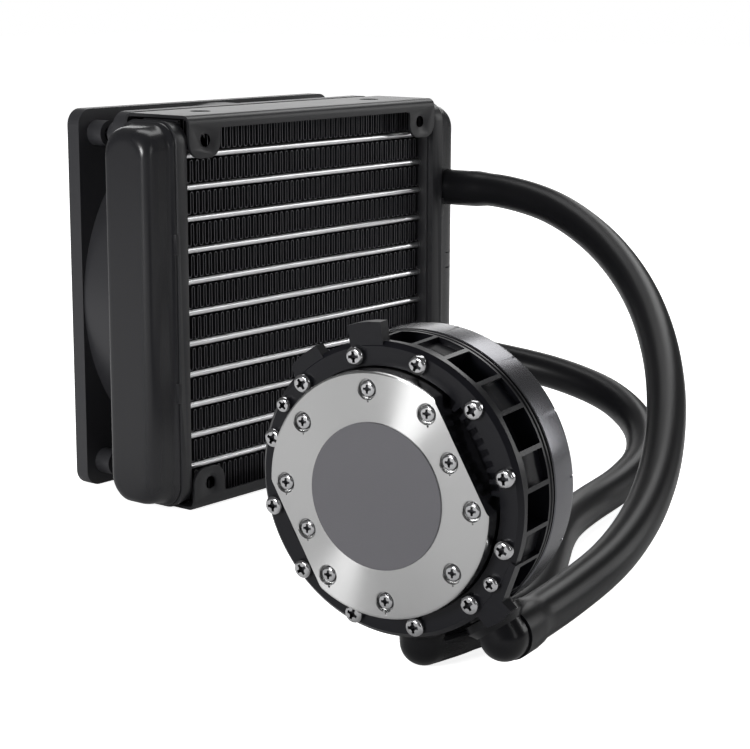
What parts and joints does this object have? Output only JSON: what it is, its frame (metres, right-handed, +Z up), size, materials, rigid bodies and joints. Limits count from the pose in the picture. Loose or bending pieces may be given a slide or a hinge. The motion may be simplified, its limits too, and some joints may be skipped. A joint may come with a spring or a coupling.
{
  "type": "all-in-one CPU liquid cooler",
  "caption": "Standing radiator with a fan behind it and two rubber hoses to a round pump head that shows its turned cold plate and thermal paste.",
  "frame": {"origin": "middle of the lower side plate's outer face, on the standing surface", "axes": "+X along the radiator towards the tank with the hose ports, +Y from the radiator to the fan, +Z up"},
  "size_m": [0.2313, 0.2264, 0.12],
  "materials": {
    "black_paint": "satin black powder coat",
    "tube_metal": "bare flat tubes, satin",
    "fin_black": "thin black coat on folded strip",
    "tank_black": "satin black moulding",
    "fan_plastic": "fine satin black moulding",
    "ring_plastic": "satin black moulding",
    "turned_metal": "bright, turned in fine rings",
    "paste_grey": "dull grey compound",
    "gunmetal": "satin gunmetal",
    "chrome": "bright plated screws",
    "dark_steel": "black plated steel",
    "hose_rubber": "smooth black rubber",
    "seal_rubber": "dull black rubber",
    "steel": "ground steel",
    "bronze": "sintered bronze",
    "copper": "copper windings on a laminated core",
    "magnet_grey": "bonded magnet",
    "board_green": "circuit board",
    "white_plastic": "natural moulding"
  },
  "bodies": {
    "cooler": {"cold_plate": "turned_metal", "fan_bearing": "bronze", "fan_circuit_board": "board_green", "fan_frame": "fan_plastic", "fan_screw_01": "dark_steel", "fan_screw_02": "dark_steel", "fan_screw_03": "dark_steel", "fan_screw_04": "dark_steel", "fan_stator": "copper", "fin_row_01": "fin_black", "fin_row_02": "fin_black", "fin_row_03": "fin_black", "fin_row_04": "fin_black", "fin_row_05": "fin_black", "fin_row_06": "fin_black", "fin_row_07": "fin_black", "fin_row_08": "fin_black", "fin_row_09": "fin_black", "fin_row_10": "fin_black", "fin_row_11": "fin_black", "fin_row_12": "fin_black", "flow_plate": "white_plastic", "hose_lower": "hose_rubber", "hose_upper": "hose_rubber", "impeller_shaft": "steel", "pump_cap": "gunmetal", "pump_circuit_board": "board_green", "pump_gasket": "seal_rubber", "pump_ring": "ring_plastic", "pump_stator": "copper", "ring_screw_01": "chrome", "ring_screw_02": "chrome", "ring_screw_03": "chrome", "ring_screw_04": "chrome", "ring_screw_05": "chrome", "ring_screw_06": "chrome", "ring_screw_07": "chrome", "ring_screw_08": "chrome", "ring_screw_09": "chrome", "ring_screw_10": "chrome", "ring_screw_11": "chrome", "ring_screw_12": "chrome", "side_plate_bottom": "black_paint", "side_plate_top": "black_paint", "small_screw_01": "chrome", "small_screw_02": "chrome", "tank_left": "tank_black", "tank_right": "tank_black", "thermal_paste": "paste_grey", "tube_core": "tube_metal"},
    "fan_wheel": {"fan_rotor": "fan_plastic", "fan_magnet_ring": "magnet_grey", "fan_shaft": "steel"},
    "pump_wheel": {"pump_impeller": "white_plastic"},
    "left_elbow": {"elbow_left": "fan_plastic", "elbow_seal_left": "seal_rubber"},
    "right_elbow": {"elbow_right": "fan_plastic", "elbow_seal_right": "seal_rubber"}
  },
  "joints": [
    {"name": "fan_spin", "type": "hinge", "parent": "cooler", "child": "fan_wheel", "pos_m": [0, 0.0138, 0.06], "axis": [0, 1, 0], "continuous": true},
    {"name": "pump_spin", "type": "hinge", "parent": "cooler", "child": "pump_wheel", "pos_m": [-0.1394, -0.15065, 0.04506], "axis": [-0.9932, -0.113, -0.0297], "continuous": true},
    {"name": "left_swivel", "type": "hinge", "parent": "cooler", "child": "left_elbow", "pos_m": [-0.12559, -0.1511, 0.00585], "axis": [0.0352, -0.0469, -0.9983], "range_deg": [-15, 15], "deforming": ["hose_lower"]},
    {"name": "right_swivel", "type": "hinge", "parent": "cooler", "child": "right_elbow", "pos_m": [-0.1233, -0.17261, 0.01092], "axis": [0.0882, -0.5586, -0.8248], "range_deg": [-15, 15], "deforming": ["hose_upper"]}
  ]
}
